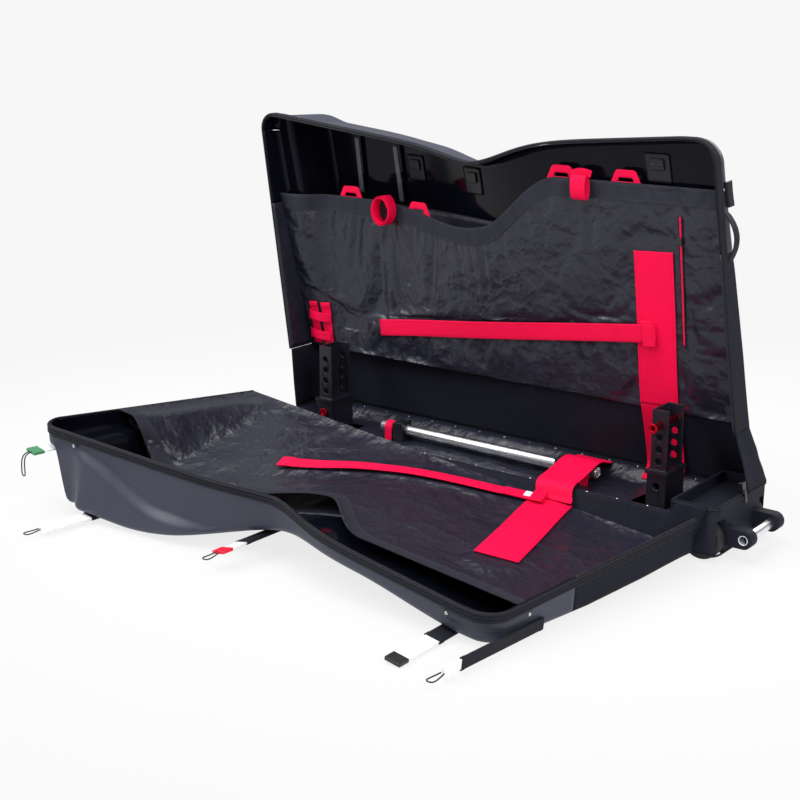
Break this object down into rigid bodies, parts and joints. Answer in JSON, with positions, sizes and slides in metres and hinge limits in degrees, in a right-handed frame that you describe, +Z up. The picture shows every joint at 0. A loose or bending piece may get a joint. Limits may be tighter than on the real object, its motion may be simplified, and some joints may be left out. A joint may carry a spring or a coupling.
{
  "type": "bike travel case",
  "caption": "Bike travel case standing open: hinged halves with hard upper shells and lined pockets on a wheeled base, with axle towers, a frame rail and a pull bar",
  "frame": {"origin": "on the floor, at the middle of the base runner's underside", "axes": "+X along the case towards its wheels and pull bar, +Y from the folded half towards the upright half, +Z up"},
  "size_m": [1.4575, 1.1411, 0.8665],
  "materials": {
    "shell": "satin",
    "guard": "matte",
    "wall_cloth": "woven",
    "rim_tape": "woven",
    "liner": "coated",
    "web_band": "woven",
    "red_web": "woven",
    "black_plastic": "matte",
    "sleeve_cloth": "woven",
    "batten": "translucent",
    "zip_metal": "satin",
    "base_plastic": "grained",
    "steel": "satin",
    "bar": "brushed",
    "tyre": "matte",
    "tower": "satin",
    "red_anodised": "anodised",
    "cap_green": "satin",
    "cap_white": "satin",
    "cap_red": "satin",
    "cap_black": "satin",
    "cord": "braided"
  },
  "bodies": {
    "base": {"base_tray": "base_plastic", "base_runner": "base_plastic", "wheel_housing": "base_plastic", "wheel_pins": "steel", "pull_bar": "bar", "frame_rail": "bar", "rail_clips": "black_plastic", "rail_ties": "red_web", "tower_tracks": "base_plastic", "far_skirt": "wall_cloth", "near_skirt": "wall_cloth"},
    "far_panel": {"far_shell": "shell", "far_wall": "wall_cloth", "far_rim": "rim_tape", "far_corner_guards": "guard", "far_pocket": "liner", "far_hub_patch": "red_web", "far_wheel_strap": "red_web", "far_sleeves": "sleeve_cloth", "far_stays": "batten", "far_loops": "red_web", "far_rolled_straps": "red_web", "far_side_straps": "red_web", "far_rod_sockets": "black_plastic", "far_handle": "web_band", "pocket_zip": "zip_metal"},
    "near_panel": {"near_shell": "shell", "near_wall": "wall_cloth", "near_rim": "rim_tape", "near_corner_guards": "guard", "near_pocket": "liner", "near_hub_patch": "red_web", "near_wheel_strap": "red_web", "near_sleeves": "sleeve_cloth"},
    "near_wheel": {"wheel_near_tyre": "tyre", "wheel_near_hub": "black_plastic"},
    "far_wheel": {"wheel_far_tyre": "tyre", "wheel_far_hub": "black_plastic"},
    "front_tower": {"front_foot": "tower", "front_post": "tower"},
    "rear_tower": {"rear_foot": "tower", "rear_post": "tower"},
    "front_axle": {"front_axle_sleeve": "red_anodised"},
    "rear_axle": {"rear_axle_sleeve": "red_anodised"},
    "pocket_slider": {"pocket_zip_slider": "zip_metal"},
    "main_slider": {"main_zip_slider": "zip_metal"},
    "stay_front_end": {"stay_front_end": "batten", "stay_front_end_cap": "cap_green", "stay_front_end_cord": "cord"},
    "stay_front": {"stay_front": "batten", "stay_front_cap": "cap_white", "stay_front_cord": "cord"},
    "stay_middle": {"stay_middle": "batten", "stay_middle_cap": "cap_red", "stay_middle_cord": "cord"},
    "stay_rear": {"stay_rear": "batten", "stay_rear_cap": "cap_black"},
    "stay_rear_end": {"stay_rear_end": "batten", "stay_rear_end_cap": "cap_white", "stay_rear_end_cord": "cord"}
  },
  "joints": [
    {"name": "near_fold", "type": "hinge", "parent": "base", "child": "near_panel", "pos_m": [-0.6, -0.07, 0.178], "axis": [-0.9974, -0.0471, 0.0551], "range_deg": [0, 94.5], "deforming": ["near_skirt"]},
    {"name": "far_fold", "type": "hinge", "parent": "base", "child": "far_panel", "pos_m": [-0.6, 0.07, 0.178], "axis": [-0.9974, 0.0471, 0.0551], "range_deg": [0, 94.5], "deforming": ["far_skirt"]},
    {"name": "near_wheel_spin", "type": "hinge", "parent": "base", "child": "near_wheel", "pos_m": [0.655, -0.099, 0.045], "axis": [0, 1, 0], "continuous": true},
    {"name": "far_wheel_spin", "type": "hinge", "parent": "base", "child": "far_wheel", "pos_m": [0.655, 0.099, 0.045], "axis": [0, 1, 0], "continuous": true},
    {"name": "front_tower_slide", "type": "slide", "parent": "base", "child": "front_tower", "axis": [1, 0, 0], "range_m": [-0.03, 0.03]},
    {"name": "rear_tower_slide", "type": "slide", "parent": "base", "child": "rear_tower", "axis": [1, 0, 0], "range_m": [-0.03, 0.03]},
    {"name": "front_axle_pull", "type": "slide", "parent": "front_tower", "child": "front_axle", "axis": [0, 1, 0], "range_m": [-0.08, 0]},
    {"name": "rear_axle_pull", "type": "slide", "parent": "rear_tower", "child": "rear_axle", "axis": [0, 1, 0], "range_m": [-0.12, 0]},
    {"name": "pocket_zip_pull", "type": "slide", "parent": "far_panel", "child": "pocket_slider", "axis": [-0.0489, -0.0901, 0.9947], "range_m": [-0.22, 0.04]},
    {"name": "main_zip_pull", "type": "slide", "parent": "base", "child": "main_slider", "axis": [-0.1416, 0, 0.9899], "range_m": [0, 0.55]},
    {"name": "stay_front_end_slide", "type": "slide", "parent": "near_panel", "child": "stay_front_end", "axis": [-0.1449, -0.9894, 0.0131], "range_m": [-0.059, 0.03]},
    {"name": "stay_front_slide", "type": "slide", "parent": "near_panel", "child": "stay_front", "axis": [-0.1449, -0.9894, 0.0131], "range_m": [-0.094, 0.05]},
    {"name": "stay_middle_slide", "type": "slide", "parent": "near_panel", "child": "stay_middle", "axis": [-0.0492, -0.9986, -0.02], "range_m": [-0.039, 0.03]},
    {"name": "stay_rear_slide", "type": "slide", "parent": "near_panel", "child": "stay_rear", "axis": [-0.0081, -0.9999, -0.0128], "range_m": [-0.089, 0.015]},
    {"name": "stay_rear_end_slide", "type": "slide", "parent": "near_panel", "child": "stay_rear_end", "axis": [-0.076, -0.9971, 0.005], "range_m": [-0.019, 0.03]}
  ]
}
